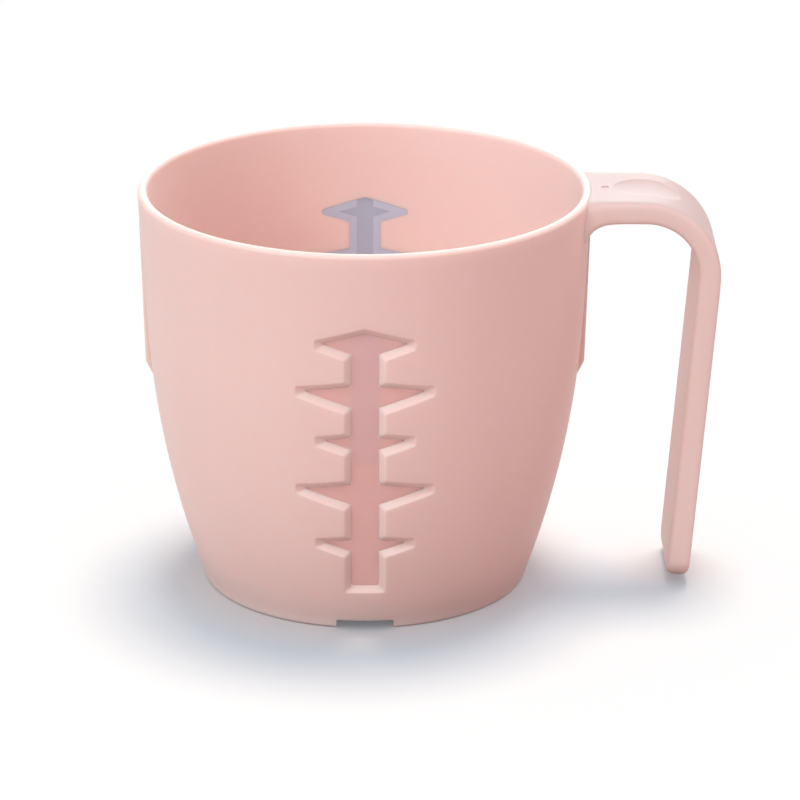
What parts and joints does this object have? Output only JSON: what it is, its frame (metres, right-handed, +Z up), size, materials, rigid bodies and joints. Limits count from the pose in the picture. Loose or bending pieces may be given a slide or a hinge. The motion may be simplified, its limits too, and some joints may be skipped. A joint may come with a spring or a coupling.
{
  "type": "easy-grip mug",
  "caption": "Tapered barrel mug with an open J-shaped strap handle, stacking ribs, a notched foot and ladder-shaped clear level windows at front and rear.",
  "frame": {"origin": "on the cup's axis, in the plane that the foot stands on", "axes": "+Z up along the cup's axis, +X towards the handle, -Y towards the front window"},
  "size_m": [0.1126, 0.0878, 0.0795],
  "materials": {
    "cup_pink": "pale salmon-pink moulded plastic with a soft satin gloss",
    "handle_pink": "the same pale pink plastic, satin gloss",
    "front_pane": "clear plastic with a faint rose tint",
    "rear_pane": "clear plastic with a grey-mauve tint"
  },
  "bodies": {
    "root": {"cup_body": "cup_pink", "handle": "handle_pink", "front_scale_window": "front_pane", "rear_scale_window": "rear_pane"}
  },
  "joints": []
}
